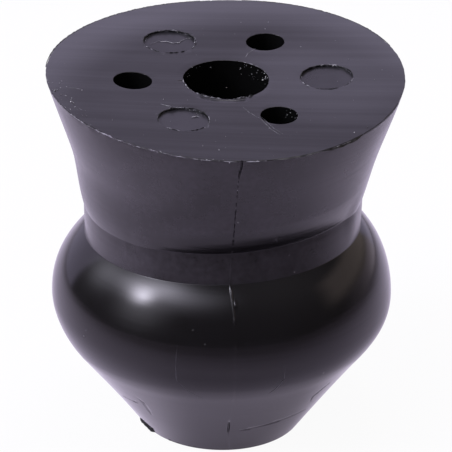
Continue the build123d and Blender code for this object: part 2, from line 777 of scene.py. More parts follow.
@dataclass
class StopperBody(Assembly):
    """The moulded piece itself: the spun body with its holes, seams, cuts and worn rim."""

    outline: Outline
    distortion: Distortion
    bore: BlindHole = BlindHole(BORE_RADIUS, 46.0 * MM, raggedness=0.12 * MM, columns=180, seed=3)
    pin_hole: BlindHole = BlindHole(4.0 * MM, 25.0 * MM, 19.5 * MM, raggedness=0.06 * MM)
    pin_hole_azimuths: tuple[float, ...] = (60.0, 180.0, 300.0)
    ejector_mark: BlindHole = BlindHole(MARK_RADIUS, 0.6 * MM, MARK_RING, mouth_round=0.05 * MM)
    ejector_mark_depths: tuple[float, ...] = (0.45 * MM, 0.5 * MM, 0.5 * MM)
    seams: tuple[MouldSeam, ...] = (
        MouldSeam(
            azimuth=-90.0,
            route=(
                (79.5, 0.2), (78.2, 0.2), (75.6, -0.5), (65.0, -1.0), (54.5, -1.0), (45.4, -1.8), (43.4, -1.2),
                (40.3, -0.5), (36.0, -0.2), (25.0, -0.6), (11.6, -1.0), (7.3, -0.8), (1.0, 1.0), (0.0, 1.0),
            ),
            slits=((75.4, 80.5, 0.5), (7.2, 11.8, 0.5)),
            ridges=(
                (38.6, 45.4, 0.16), (43.2, 45.4, 0.1), (20.0, 39.2, 0.05), (46.4, 51.8, 0.05), (1.0, 6.4, 0.08),
            ),
            dashed_from=52.8,
            dashed_to=75.6,
            dash_depth=0.3 * MM,
            dash_length=0.7 * MM,
            dash_share=0.7,
            line_width=0.18 * MM,
            thread=0.04 * MM,
            blisters=((0.55, 42.2, 0.5, 0.3), (-0.1, 39.6, 0.3, 0.12)),
        ),
        MouldSeam(
            azimuth=90.0,
            route=((79.5, 0.3), (60.0, -0.2), (45.0, 0.2), (20.0, -0.3), (0.0, 0.2)),
            slits=((78.6, 80.5, 0.25),),
            ridges=((30.0, 40.0, 0.05),),
            dashed_from=58.0,
            dashed_to=74.0,
            dash_depth=0.1 * MM,
        ),
    )
    cuts: tuple[Mark, ...] = (
        Mark(
            Place.SIDE, ((-133.4, 16.2), (-131.3, 14.2), (-131.9, 11.6), (-132.5, 9.2)),
            1.5 * MM, 0.08 * MM, 0.34,
        ),
        Mark(Place.SIDE, ((-140.4, 12.4), (-137.0, 13.0)), 0.5 * MM, 0.02 * MM, 0.7),
        Mark(
            Place.SIDE, ((-45.2, 17.3), (-48.0, 15.8), (-50.2, 14.2), (-49.2, 12.6), (-46.7, 11.7)),
            0.55 * MM, 0.02 * MM, 0.8,
        ),
        Mark(
            Place.SIDE, ((-46.0, 9.3), (-53.0, 9.1), (-65.0, 8.8), (-76.0, 8.2), (-84.8, 7.8)),
            0.3 * MM, 0.02 * MM, 0.7,
        ),
        Mark(Place.FACE, ((-10.2, -0.1), (-8.6, -0.2)), 0.7 * MM, 0.0, 0.7),
        Mark(
            Place.FACE, ((-6.3, -7.5), (-4.9, -8.5), (-3.0, -9.3), (-1.0, -9.7), (1.3, -9.75), (3.2, -9.2)),
            0.26 * MM, 0.0, 0.8, wander=0.04 * MM,
        ),
    )
    seam_span: float = 5.0
    seam_steps: int = 40
    plain_steps: int = 150
    rim_waver: float = 0.1 * MM
    worn_azimuth: float = math.radians(-150.0)
    worn_spread: float = math.radians(30.0)
    rim_reach: float = 1.8 * MM
    smooth_angle: float = math.radians(40.0)

    def holes(self) -> list[BlindHole]:
        """Every hole in the head face.

        Returns:
            The bore, the pin holes and the ejector marks.
        """
        found = [self.bore]
        for number, azimuth in enumerate(self.pin_hole_azimuths):
            found.append(replace(self.pin_hole, azimuth=azimuth, seed=2 + number))
        for number, (azimuth, depth) in enumerate(zip(MARK_AZIMUTHS, self.ejector_mark_depths)):
            found.append(replace(self.ejector_mark, azimuth=azimuth, depth=depth, seed=7 + number))
        return found

    def waver(self, point: Vector) -> float:
        """How far the trimmed rim wavers in and out at a point near it.

        Args:
            point: a point of the true outline.

        Returns:
            The outward displacement.
        """
        close = 1 - (self.outline.head_level - point.z) / (1.2 * MM)
        if close <= 0:
            return 0.0
        ragged = noise.noise(point / (2.2 * MM)) + 0.7 * noise.noise(point / (0.8 * MM))
        worn = bell(abs(math.atan2(point.y, point.x) - self.worn_azimuth) / self.worn_spread)
        return self.rim_waver * close * ragged * (1 + 1.6 * worn)

    def build(self) -> bpy.types.Object:
        """Spins the body, sculpts its seams and rim, cuts its holes and settles it.

        Returns:
            The bare piece.
        """
        shape = bmesh.new()
        half_turn = [(self.seam_span, self.seam_steps), (180.0 - self.seam_span, self.plain_steps)]
        spin_rows(shape, self.outline.rows(), -90.0 - self.seam_span / 2, half_turn * 2)
        cap_ends(shape)
        for vertex in shape.verts:
            vertex.co += Vector((vertex.co.x, vertex.co.y, 0.0)).normalized() * self.stand_out(vertex.co)
        piece = link_mesh("stopper", shape)
        holes, cuts = bmesh.new(), bmesh.new()
        for hole in self.holes():
            hole.draw(holes, self.outline.head_level)
        for mark in self.cuts:
            mark.draw(cuts, self.outline, None, sides=4)
        self.cut(piece, holes)
        self.cut(piece, cuts)
        for polygon in piece.data.polygons:
            polygon.use_smooth = True
            polygon.material_index = self.finish_at(polygon.center, polygon.normal).value
        self.mark_hollow(piece)
        settle = self.distortion.settle()
        for vertex in piece.data.vertices:
            vertex.co = settle(vertex.co)
        self.shade(piece)
        LOG.info("%s: %d faces, %d holes", piece.name, len(piece.data.polygons), len(self.holes()))
        return piece

    def mark_hollow(self, piece: bpy.types.Object) -> None:
        """Writes how far each point over the crease lies in the hollow, for the finish's painted shade to read.

        Args:
            piece: the body, still on its true outline.
        """
        start = self.outline.crease_level + 0.8 * self.outline.crease_fillet
        shares = []
        for vertex in piece.data.vertices:
            turn = math.atan2(vertex.co.y, vertex.co.x)
            depth = self.distortion.crease_hollow(turn, vertex.co.z) if vertex.co.z > start else 0.0
            shares.append(depth / self.distortion.hollow)
        piece.data.attributes.new(DRAWN_IN, "FLOAT", "POINT").data.foreach_set("value", shares)

    def stand_out(self, point: Vector) -> float:
        """How far the seams and the worn rim move a point of the true outline outwards.

        Args:
            point: the point.

        Returns:
            The outward displacement.
        """
        radius, level = math.hypot(point.x, point.y), point.z
        if level < 0.02 * MM and radius < self.outline.foot_radius - 0.5 * MM:
            return 0.0
        share = 1.0
        if level > self.outline.head_level - 0.02 * MM:
            share = smooth_step(1 - (self.outline.head_radius - radius) / self.rim_reach)
        return share * (self.waver(point) + sum(seam.relief(point) for seam in self.seams))

    def cut(self, piece: bpy.types.Object, cutters: bmesh.types.BMesh) -> None:
        """Takes a set of cutters that don't touch each other out of the body.

        Args:
            piece: the body.
            cutters: the closed shapes to take out, which this frees.
        """
        bmesh.ops.recalc_face_normals(cutters, faces=cutters.faces)
        cutter = link_mesh("cutters", cutters)
        modifier = piece.modifiers.new("cut", "BOOLEAN")
        modifier.operation = "DIFFERENCE"
        modifier.solver = "EXACT"
        modifier.object = cutter
        depsgraph = bpy.context.evaluated_depsgraph_get()
        result = bpy.data.meshes.new_from_object(piece.evaluated_get(depsgraph))
        piece.modifiers.clear()
        old, piece.data = piece.data, result
        bpy.data.meshes.remove(old)
        bpy.data.objects.remove(cutter)

    def finish_at(self, middle: Vector, normal: Vector) -> Finish:
        """The finish of a face of the body.

        Args:
            middle: the face's middle.
            normal: the face's outward direction.

        Returns:
            The finish.
        """
        level = self.outline.head_level
        turns = [math.radians(azimuth) for azimuth in MARK_AZIMUTHS]
        marks = [self.ejector_mark.ring_radius * Vector((math.cos(turn), math.sin(turn))) for turn in turns]
        near_mark = min((middle.xy - spot).length for spot in marks) - self.ejector_mark.radius
        if middle.z > level - 1.6 * MM:
            if near_mark < -0.25 * MM and normal.z > 0.7:
                return Finish.PAD
            if near_mark < 0.12 * MM:
                return Finish.EDGE
            if normal.z > 0.7:
                return Finish.FACE
        # The walls inside the holes take the darker copy of the rubber, which paints their shade.
        if middle.xy.length < self.outline.neck_radius - 1.5 * MM and middle.z > self.outline.bulge_level:
            return Finish.WALL
        return Finish.CONE if middle.z > self.outline.groove_level else Finish.SIDE

    def shade(self, piece: bpy.types.Object) -> None:
        """Keeps the sharp edges and evens the shading of all the others.

        Args:
            piece: the settled body.
        """
        piece.data.set_sharp_from_angle(angle=self.smooth_angle)
        normals = piece.modifiers.new("even_shading", "WEIGHTED_NORMAL")
        normals.keep_sharp = True


@dataclass(frozen=True)
class FlashRun:
    """A run of torn flash that stands off a circle of the moulding, level or on a slant."""

    start: float
    end: float
    radius: float
    level: float
    reach: float
    rise: float
    seed: int
    tear: float = 0.75
    spacing: float = 0.22 * MM
    thickness: float = 0.07 * MM
    root: float = 0.12 * MM
    centre: tuple[float, float] = (0.0, 0.0)
    widening: float = 0.0
    climb: float = 0.0
    # pale False puts the run in the darker copy of the torn rubber, which paints shade on it.
    pale: bool = True

    def draw(self, shape: bmesh.types.BMesh, settle: Settle) -> None:
        """Adds the run's torn fin to a bmesh.

        Args:
            shape: the bmesh that takes the fin.
            settle: moves points to where the rubber is.
        """
        steps = max(6, round(math.radians(abs(self.end - self.start)) * self.radius / self.spacing))
        centre = Vector((*self.centre, 0.0))
        before = len(shape.faces)
        roots, tips = [], []
        for step in range(steps + 1):
            share = step / steps
            azimuth = self.start + (self.end - self.start) * share
            turn = turned_to(azimuth)
            along = math.radians(azimuth) * self.radius
            torn = noise.noise(Vector((along / (0.9 * MM), self.seed * 3.1, 0.0)))
            torn += 0.6 * noise.noise(Vector((along / (0.35 * MM), 0.0, self.seed * 1.7)))
            fade = min(1.0, 5 * share, 5 * (1 - share))
            length = self.root + self.reach * fade * max(1 - self.tear * (0.5 + 0.9 * torn), 0.05)
            tilt = math.radians(self.rise + 25 * noise.noise(Vector((along / (1.6 * MM), 5.0, self.seed))))
            away = Vector((math.cos(tilt), 0.0, math.sin(tilt)))
            inner = Vector((self.radius + self.widening * share, 0.0, self.level + self.climb * share))
            inner -= away * self.root
            roots.append(shape.verts.new(settle(centre + turn @ inner)))
            tips.append(settle(centre + turn @ (inner + away * length)))
        edges = [shape.edges.new(pair) for pair in zip(roots, roots[1:])]
        raised = bmesh.ops.extrude_edge_only(shape, edges=edges)["geom"]
        outer_verts = [item for item in raised if isinstance(item, bmesh.types.BMVert)]
        ordered = sorted(outer_verts, key=lambda vertex: roots_order(vertex, roots))
        for vertex, tip in zip(ordered, tips):
            vertex.co = tip
        faces = list(dict.fromkeys(face for vertex in ordered for face in vertex.link_faces))
        bmesh.ops.recalc_face_normals(shape, faces=faces)
        bmesh.ops.solidify(shape, geom=faces, thickness=self.thickness)
        shape.faces.ensure_lookup_table()
        for face in shape.faces[before:]:
            # Slot 1 is the darker copy of the torn rubber: painted shade.
            face.material_index = 0 if self.pale else 1


def roots_order(vertex: bmesh.types.BMVert, roots: list[bmesh.types.BMVert]) -> int:
    """The place in a line of the root that an extruded vertex came from."""
    joined = {edge.other_vert(vertex) for edge in vertex.link_edges}
    return next(number for number, root in enumerate(roots) if root in joined)


@dataclass
class TornFlash(Assembly):
    """Flash left at the head's rim, the bore's mouth and the foot."""

    outline: Outline
    settle: Settle

    def rim_runs(self) -> list[FlashRun]:
        """The runs round the head's rim: bright and ragged at the left, an overhang at the right whose darkness
        is painted shade.

        Returns:
            The runs, with start, end, reach in mm, rise, tear, seed and paleness listed for each.
        """
        radius, level = self.outline.head_radius + 0.1 * MM, self.outline.head_level - 0.05 * MM
        runs = (
            (-172.0, -160.0, 0.35, 60.0, 0.75, 1, True), (-158.0, -146.0, 0.4, 60.0, 0.75, 2, True),
            (-147.0, -138.0, 0.55, 45.0, 0.95, 3, True), (-139.0, -122.0, 0.75, 50.0, 0.9, 4, True),
            (-124.0, -104.0, 0.6, 45.0, 0.9, 5, True), (-104.0, -91.5, 0.25, 20.0, 0.75, 6, True),
            (-88.5, -82.0, 0.2, 10.0, 0.75, 7, True), (-80.0, -62.0, 0.22, -30.0, 0.6, 8, False),
            (-63.0, -45.0, 0.5, -50.0, 0.3, 12, False), (-58.0, -50.0, 0.14, 30.0, 0.75, 13, True),
            (-46.0, -20.0, 0.18, 10.0, 0.75, 9, False), (20.0, 80.0, 0.15, 10.0, 0.75, 10, False),
            (94.0, 170.0, 0.18, 15.0, 0.75, 11, False),
        )
        return [
            FlashRun(start, end, radius, level, reach * MM, rise, seed, tear, pale=pale)
            for start, end, reach, rise, tear, seed, pale in runs
        ]

    def mark_runs(self) -> list[FlashRun]:
        """The broken lips round the ejector marks.

        Returns:
            The runs.
        """
        runs = []
        spans = ((-165.0, -128.0), (-120.0, -62.0), (-55.0, -8.0), (0.0, 44.0), (58.0, 100.0), (112.0, 172.0))
        for azimuth in MARK_AZIMUTHS:
            turn = math.radians(azimuth)
            centre = (MARK_RING * math.cos(turn), MARK_RING * math.sin(turn))
            for number, (start, end) in enumerate(spans):
                seed = 40 + number + round(azimuth)
                runs.append(FlashRun(
                    start + azimuth / 9, end + azimuth / 9, MARK_RADIUS, self.outline.head_level - 0.04 * MM,
                    0.28 * MM, 95.0, seed, tear=1.0, spacing=0.14 * MM, thickness=0.06 * MM, root=0.08 * MM,
                    centre=centre, pale=number % 2 == 0,
                ))
        return runs

    def bore_runs(self) -> list[FlashRun]:
        """The torn lip along the front of the bore's mouth.

        Returns:
            The runs.
        """
        radius, level = 9.1 * MM, self.outline.head_level - 0.06 * MM
        lip = FlashRun(-140.0, -98.0, radius, level, 0.55 * MM, 100.0, 21, tear=0.95, root=0.08 * MM)
        return [
            lip,
            replace(lip, start=-97.0, end=-52.0, reach=0.4 * MM, seed=22),
            replace(lip, start=-188.0, end=-142.0, reach=0.3 * MM, seed=24),
            replace(lip, start=5.0, end=70.0, reach=0.18 * MM, rise=120.0, seed=23),
            replace(lip, start=84.0, end=150.0, reach=0.12 * MM, rise=120.0, seed=25, pale=False),
        ]

    def foot_runs(self) -> list[FlashRun]:
        """The flash at the foot's edge, with the tongue that stands out at its left.

        Returns:
            The runs.
        """
        radius = self.outline.foot_radius - 0.25 * MM
        thin = FlashRun(
            -141.5, -103.0, radius, 0.12 * MM, 0.55 * MM, 12.0, 31, tear=0.4, thickness=0.1 * MM, pale=False,
        )
        return [
            thin,
            replace(
                thin, start=-162.0, end=-146.5, radius=radius + 1.6 * MM, widening=-1.4 * MM, level=2.6 * MM,
                climb=-2.3 * MM, reach=0.8 * MM, rise=-25.0, seed=32, tear=0.2, thickness=0.14 * MM,
                root=0.4 * MM,
            ),
            replace(thin, start=-41.0, end=-30.0, reach=0.55 * MM, rise=35.0, seed=33),
            replace(thin, start=20.0, end=75.0, reach=0.25 * MM, seed=34),
            replace(thin, start=110.0, end=150.0, reach=0.3 * MM, seed=35),
        ]

    def build(self) -> bpy.types.Object:
        """Draws every run of flash as one piece.

        Returns:
            The bare piece.
        """
        shape = bmesh.new()
        runs = self.rim_runs() + self.mark_runs() + self.bore_runs() + self.foot_runs()
        for run in runs:
            run.draw(shape, self.settle)
        piece = link_mesh("torn_flash", shape)
        LOG.info("%s: %d runs, %d faces", piece.name, len(runs), len(piece.data.polygons))
        return piece


FACE_SCUFFS = (
    Mark(Place.FACE, ((5.2, -17.4), (6.4, -20.2), (7.5, -23.2), (9.1, -25.8)), 0.14 * MM, wander=0.1 * MM),
    Mark(Place.FACE, ((5.8, -17.2), (7.0, -20.0), (8.1, -22.9), (9.8, -25.4)), 0.1 * MM, wander=0.1 * MM),
    Mark(Place.FACE, ((2.4, -12.6), (3.4, -14.9), (5.0, -17.4)), 0.1 * MM, wander=0.1 * MM),
    Mark(Place.FACE, ((-15.0, -11.1), (-13.2, -12.1)), 0.3 * MM),
    Mark(Place.FACE, ((4.8, 9.6), (5.6, 11.6), (7.5, 14.1)), 0.16 * MM),
    Mark(Place.FACE, ((-33.4, -3.2), (-31.2, -3.9)), 0.14 * MM),
)

SIDE_SCUFFS = (
    Mark(Place.SIDE, ((-74.4, 56.4), (-72.6, 54.9)), 0.14 * MM),
    Mark(Place.SIDE, ((-74.2, 54.8), (-72.6, 56.4)), 0.12 * MM),
    Mark(Place.SIDE, ((-75.0, 55.7), (-71.8, 55.5)), 0.1 * MM),
    Mark(
        Place.SIDE, ((-110.0, 34.9), (-110.2, 30.5), (-110.0, 26.7), (-106.0, 23.2), (-101.8, 21.2)), 0.12 * MM,
    ),
    Mark(Place.SIDE, ((-73.5, 30.3), (-73.2, 26.7), (-76.0, 22.9), (-78.0, 21.6)), 0.22 * MM),
    Mark(Place.SIDE, ((-150.0, 12.0), (-144.0, 12.5), (-138.5, 12.8)), 0.14 * MM),
    Mark(Place.SIDE, ((-91.3, 6.9), (-90.6, 5.8), (-89.6, 3.0)), 0.16 * MM),
)


@dataclass
class Scuffs(Assembly):
    """Fine raised scuffs, hairs of rubber and mould marks on one side of the rim."""

    name: str
    outline: Outline
    settle: Settle
    marks: tuple[Mark, ...]

    def build(self) -> bpy.types.Object:
        """Draws every scuff as one piece.

        Returns:
            The bare piece.
        """
        shape = bmesh.new()
        for mark in self.marks:
            mark.draw(shape, self.outline, self.settle, sides=6)
        bmesh.ops.recalc_face_normals(shape, faces=shape.faces)
        piece = link_mesh(self.name, shape)
        for polygon in piece.data.polygons:
            polygon.use_smooth = True
        LOG.info("%s: %d marks", piece.name, len(self.marks))
        return piece


@dataclass(frozen=True)
class Scatter:
    """Crumbs strewn over a curved band: on the rim, on the face or on a hole's wall.

    Lengths are in mm.
    """

    count: int
    start: float
    end: float
    radii: tuple[float, float]
    drop: float
    sizes: tuple[float, float]
    centre: tuple[float, float] = (0.0, 0.0)

    def spots(self, draw: Random, head_level: float) -> list[tuple[Vector, float]]:
        """Draws the crumbs' places and widths.

        Args:
            draw: source of random numbers.
            head_level: level of the head face.

        Returns:
            Each crumb's place on the true outline and its width.
        """
        lengths = (*self.radii, *self.sizes, *self.centre)
        inner, outer, small, large, x, y = (length * MM for length in lengths)
        found = []
        for _ in range(self.count):
            turn = math.radians(draw.uniform(self.start, self.end))
            radius = math.sqrt(draw.uniform(inner**2, outer**2))
            level = head_level - self.drop * MM * draw.uniform(0.0, 1.0)
            spot = Vector((x + radius * math.cos(turn), y + radius * math.sin(turn), level))
            found.append((spot, small + (large - small) * draw.random() ** 2))
        return found


@dataclass
class Dust(Assembly):
    """Crumbs of rubber and fibres that lie on the moulding."""

    outline: Outline
    settle: Settle
    face_specks: tuple[tuple[float, float, float], ...] = (
        (-36.3, -5.1, 0.55), (-35.7, -4.6, 0.35), (-30.6, -4.6, 0.36), (-33.6, -3.0, 0.2),
        (-33.4, -9.4, 0.22), (10.4, 22.9, 0.25), (16.8, 13.8, 0.18), (25.9, 7.4, 0.26),
        (30.9, -2.0, 0.2), (-14.0, -9.0, 0.2), (-25.6, -19.0, 0.22), (-4.2, -32.4, 0.22),
        (-7.4, -30.4, 0.18), (24.8, -25.6, 0.28), (27.8, -23.4, 0.24), (7.0, -22.6, 0.16),
        (-15.4, 15.6, 0.28), (-5.3, 17.8, 0.25), (-6.4, 19.6, 0.2), (1.2, -24.5, 0.16),
    )
    side_specks: tuple[tuple[float, float, float], ...] = (
        (-105.0, 37.9, 0.16), (-100.5, 35.5, 0.18), (-86.2, 35.5, 0.14), (-57.0, 24.5, 0.2),
        (-148.0, 29.9, 0.2), (-147.0, 31.5, 0.16), (-89.9, 62.9, 0.18), (-90.6, 71.8, 0.16),
        (-66.0, 50.2, 0.16), (-64.0, 46.0, 0.14),
    )
    scatters: tuple[Scatter, ...] = (
        Scatter(56, 0.0, 360.0, (11.0, 36.0), 0.0, (0.05, 0.14)),
        Scatter(44, -182.0, -148.0, (34.0, 37.4), 0.0, (0.1, 0.38)),
        Scatter(70, -154.0, -92.0, (37.0, 37.6), 0.35, (0.1, 0.34)),
        Scatter(20, -88.0, 10.0, (37.1, 37.5), 0.3, (0.06, 0.2)),
        Scatter(30, 8.0, 66.0, (8.85, 8.98), 3.2, (0.1, 0.34)),
        Scatter(7, 80.0, 150.0, (8.85, 8.98), 1.6, (0.1, 0.26)),
        Scatter(10, -170.0, -95.0, (9.0, 9.5), 0.0, (0.08, 0.22)),
        Scatter(11, -5.0, 62.0, (3.88, 3.98), 2.2, (0.1, 0.26), (9.75, -16.89)),
        Scatter(3, -40.0, 10.0, (4.0, 4.2), 0.0, (0.12, 0.2), (9.75, 16.89)),
        Scatter(16, 10.0, 75.0, (4.2, 5.3), 0.4, (0.08, 0.26), (-10.5, -18.19)),
        Scatter(12, 60.0, 200.0, (5.0, 5.45), 0.3, (0.08, 0.2), (-10.5, 18.19)),
        Scatter(18, 0.0, 360.0, (5.1, 5.6), 0.2, (0.06, 0.2), (21.0, 0.0)),
    )
    bore_speck: tuple[float, float, float] = (84.0, 73.2, 0.34)
    fibre: Mark = Mark(
        Place.FACE,
        ((-14.6, 17.6), (-13.0, 18.9), (-11.2, 18.9), (-9.9, 18.2), (-8.6, 18.4), (-7.4, 20.0), (-5.6, 20.8)),
        0.11 * MM, -0.38 * MM, 1.0, wander=0.35 * MM,
    )
    pad_fibre: Mark = Mark(
        Place.FACE, ((-8.7, -16.6), (-7.8, -16.2), (-7.0, -16.5)), 0.18 * MM, -0.36 * MM, 1.0,
    )
    seed: int = 8

    def speck(self, shape: bmesh.types.BMesh, spot: Vector, size: float, draw: Random) -> None:
        """Adds one angular crumb.

        Args:
            shape: the bmesh that takes the crumb.
            spot: where it lies.
            size: its width.
            draw: source of random numbers.
        """
        turn = Euler([draw.uniform(0.0, math.tau) for _ in range(3)]).to_matrix().to_4x4()
        shares = [draw.uniform(*ends) for ends in ((0.5, 1.7), (0.5, 1.1), (0.3, 0.7))]
        stretch = Matrix.Diagonal((*shares, 1.0))
        spot = spot + Vector((0.0, 0.0, 0.2 * size))
        crumb = bmesh.ops.create_icosphere(
            shape, subdivisions=1, radius=size / 2, matrix=Matrix.Translation(spot) @ turn @ stretch,
        )["verts"]
        for vertex in crumb:
            out = vertex.co - spot
            vertex.co = spot + out * (1 + 0.9 * noise.noise(vertex.co / (0.3 * size)))

    def build(self) -> bpy.types.Object:
        """Scatters the crumbs and lays the fibres as one piece.

        Returns:
            The bare piece.
        """
        outline, settle = self.outline, self.settle
        shape = bmesh.new()
        draw = Random(self.seed)
        for x, y, size in self.face_specks:
            self.speck(shape, settle(Vector((x * MM, y * MM, outline.head_level))), size * MM, draw)
        azimuth, level, size = self.bore_speck
        wall = turned_to(azimuth) @ Vector((BORE_RADIUS, 0.0, level * MM))
        self.speck(shape, settle(wall), size * MM, draw)
        for azimuth, level, size in self.side_specks:
            self.speck(shape, settle(outline.on_side(azimuth, level * MM)), size * MM, draw)
        for scatter in self.scatters:
            for spot, width in scatter.spots(draw, outline.head_level):
                self.speck(shape, settle(spot), width, draw)
        self.fibre.draw(shape, outline, settle, sides=6)
        self.pad_fibre.draw(shape, outline, settle, sides=6)
        bmesh.ops.recalc_face_normals(shape, faces=shape.faces)
        piece = link_mesh("dust", shape)
        LOG.info("%s: %d faces", piece.name, len(piece.data.polygons))
        return piece


class Nodes:
    """Short ways to add shader nodes to a tree."""

    def __init__(self, tree: bpy.types.NodeTree) -> None:
        """Keeps the tree that takes the nodes."""
        self.tree = tree

    def feed(self, slot: Socket, value: object) -> None:
        """Links a socket, or sets a plain value; a colour of three numbers is opaque.

        Args:
            slot: the input to feed.
            value: a socket, a number, a vector or a colour.
        """
        if isinstance(value, bpy.types.NodeSocket):
            self.tree.links.new(value, slot)
        elif slot.type == "RGBA" and len(value) == 3:
            slot.default_value = (*value, 1.0)
        else:
            slot.default_value = value

    def fill(self, node: bpy.types.Node, **inputs: object) -> bpy.types.Node:
        """Sets or links a node's inputs, named with _ for each space.

        Args:
            node: the node.
            **inputs: a value or a socket for each named input.

        Returns:
            The node.
        """
        for name, value in inputs.items():
            self.feed(node.inputs[name.replace("_", " ")], value)
        return node

    def add(self, kind: str, **inputs: object) -> bpy.types.Node:
        """Adds a node of a type and fills its inputs."""
        return self.fill(self.tree.nodes.new(kind), **inputs)

    def group(self, tree: bpy.types.NodeTree, **inputs: object) -> Socket:
        """Places a node group, fills its inputs and gives its result.

        Args:
            tree: the group.
            **inputs: a value or a socket for each named input.

        Returns:
            The group's one output.
        """
        node = self.tree.nodes.new("ShaderNodeGroup")
        node.node_tree = tree
        return self.fill(node, **inputs).outputs[0]

    def operate(self, kind: str, operation: str, values: tuple[object, ...]) -> bpy.types.Node:
        """Adds a node with an operation and feeds its inputs in order.

        Args:
            kind: the node's type.
            operation: the operation's name.
            values: a value or a socket for each input.

        Returns:
            The node.
        """
        node = self.tree.nodes.new(kind)
        node.operation = operation
        for slot, value in zip(node.inputs, values):
            self.feed(slot, value)
        return node

    def maths(self, operation: str, *values: object) -> Socket:
        """The result of a Math node on sockets or numbers."""
        return self.operate("ShaderNodeMath", operation, values).outputs[0]

    def vector(self, operation: str, *values: object) -> Socket:
        """The result of a Vector Math node on sockets or vectors, a number where it gives one."""
        node = self.operate("ShaderNodeVectorMath", operation, values)
        return node.outputs["Value" if operation in ("DISTANCE", "DOT_PRODUCT", "LENGTH") else 0]

    def scaled(self, colour: object, share: Socket) -> Socket:
        """A colour times a share."""
        return self.fill(self.operate("ShaderNodeVectorMath", "SCALE", (colour,)), Scale=share).outputs[0]

    def limited(self, value: Socket) -> Socket:
        """A value held from 0 to 1."""
        return self.maths("MINIMUM", self.maths("MAXIMUM", value, 0.0), 1.0)

    def step(self, value: Socket, start: float, end: float, low: float = 0.0, high: float = 1.0) -> Socket:
        """A smooth step of a socket.

        Args:
            value: the socket.
            start: where the step starts.
            end: where it ends.
            low: the result up to the start.
            high: the result from the end.

        Returns:
            The stepped value.
        """
        inputs = {"From_Min": start, "From_Max": end, "To_Min": low, "To_Max": high}
        node = self.add("ShaderNodeMapRange", Value=value, **inputs)
        node.interpolation_type = "SMOOTHSTEP"
        return node.outputs["Result"]

    def edge(self, value: Socket, middle: float, softness: float, falls: bool = False) -> Socket:
        """A soft edge of a field: a rise from 0 to 1 about a value, or a fall from 1 to 0."""
        return self.step(value, middle - softness / 2, middle + softness / 2, float(falls), float(not falls))

    def mix(self, share: object, first: object, second: object) -> Socket:
        """A mix of two colours.

        Args:
            share: the second colour's share.
            first: the first colour.
            second: the second colour.

        Returns:
            The mixed colour.
        """
        node = self.tree.nodes.new("ShaderNodeMix")
        node.data_type = "RGBA"
        for number, value in ((0, share), (6, first), (7, second)):
            self.feed(node.inputs[number], value)
        return node.outputs[2]

    def noise(self, place: Socket, scale: object, detail: float = 3.0) -> Socket:
        """A noise texture's value at a place."""
        return self.add("ShaderNodeTexNoise", Vector=place, Scale=scale, Detail=detail).outputs["Fac"]

    def spot(self) -> Socket:
        """The place on the piece, in Object coordinates."""
        return self.add("ShaderNodeTexCoord").outputs["Object"]

    def spun_about_z(self, place: Socket, angle: float) -> Socket:
        """A place turned about the vertical by an angle.

        Args:
            place: the place.
            angle: the angle in radians.

        Returns:
            The turned place.
        """
        node = self.add("ShaderNodeVectorRotate", Vector=place, Angle=angle)
        node.rotation_type = "Z_AXIS"
        return node.outputs["Vector"]


def new_group(name: str, amounts: tuple[str, str], result: str) -> tuple[bpy.types.NodeTree, Nodes, object]:
    """Starts a shader node group that takes a place and two amounts and gives one value.

    Args:
        name: the group's name.
        amounts: the names of the two amounts.
        result: the output's name.

    Returns:
        The group, a builder for its nodes, and the sockets that hold what it is given.
    """
    tree = bpy.data.node_groups.new(name, "ShaderNodeTree")
    tree.interface.new_socket(name="Place", in_out="INPUT", socket_type="NodeSocketVector")
    for label in amounts:
        tree.interface.new_socket(name=label, in_out="INPUT", socket_type="NodeSocketFloat")
    tree.interface.new_socket(name=result, in_out="OUTPUT", socket_type="NodeSocketFloat")
    nodes = Nodes(tree)
    return tree, nodes, nodes.add("NodeGroupInput").outputs


class RubberEffects:
    """The node groups that the stopper's finishes share."""

    def __init__(self) -> None:
        """Builds each group once."""
        self.grain = self.drawn_grain()
        self.bloom = self.bloom_mottle()

    @staticmethod
    def drawn_grain() -> bpy.types.NodeTree:
        """Fine lines drawn out along one direction, as a trimmed or turned surface leaves them.

        Returns:
            The group, which gives a bump height.
        """
        tree, nodes, given = new_group("drawn_grain", ("Line Scale", "Break Up"), "Height")
        place, fine_scale = given["Place"], given["Line Scale"]
        coarse_scale = nodes.maths("MULTIPLY", fine_scale, 0.37)
        patch_scale = nodes.maths("MULTIPLY", coarse_scale, 0.2)
        lines = nodes.maths("ADD", nodes.noise(place, fine_scale, 2.0), nodes.noise(place, coarse_scale, 1.0))
        fade = nodes.step(nodes.noise(place, patch_scale, 2.0), 0.35, 0.65)
        kept = nodes.maths("MULTIPLY_ADD", nodes.maths("SUBTRACT", fade, 1.0), given["Break Up"], 1.0)
        nodes.add("NodeGroupOutput", Height=nodes.maths("MULTIPLY", lines, kept))
        return tree

    @staticmethod
    def bloom_mottle() -> bpy.types.NodeTree:
        """Soft clouds of wax bloom and small cleaner patches.

        Returns:
            The group, which gives the share that the bloom covers.
        """
        tree, nodes, given = new_group("bloom_mottle", ("Cloud Scale", "Contrast"), "Cover")
        place, cloud_scale = given["Place"], given["Cloud Scale"]
        patch = nodes.noise(place, nodes.maths("MULTIPLY", cloud_scale, 7.3), 3.0)
        cloud = nodes.maths("MULTIPLY", nodes.noise(place, cloud_scale, 4.0), 0.65)
        centred = nodes.maths("SUBTRACT", nodes.maths("MULTIPLY_ADD", patch, 0.35, cloud), 0.5)
        nodes.add("NodeGroupOutput", Cover=nodes.maths("MULTIPLY_ADD", centred, given["Contrast"], 0.5))
        return tree


def new_material(name: str) -> tuple[bpy.types.Material, Nodes, bpy.types.Node]:
    """Starts a material.

    Args:
        name: the material's name.

    Returns:
        The material, a builder for its nodes, and its Principled shader.
    """
    material = bpy.data.materials.new(name)
    material.use_nodes = True
    return material, Nodes(material.node_tree), material.node_tree.nodes["Principled BSDF"]


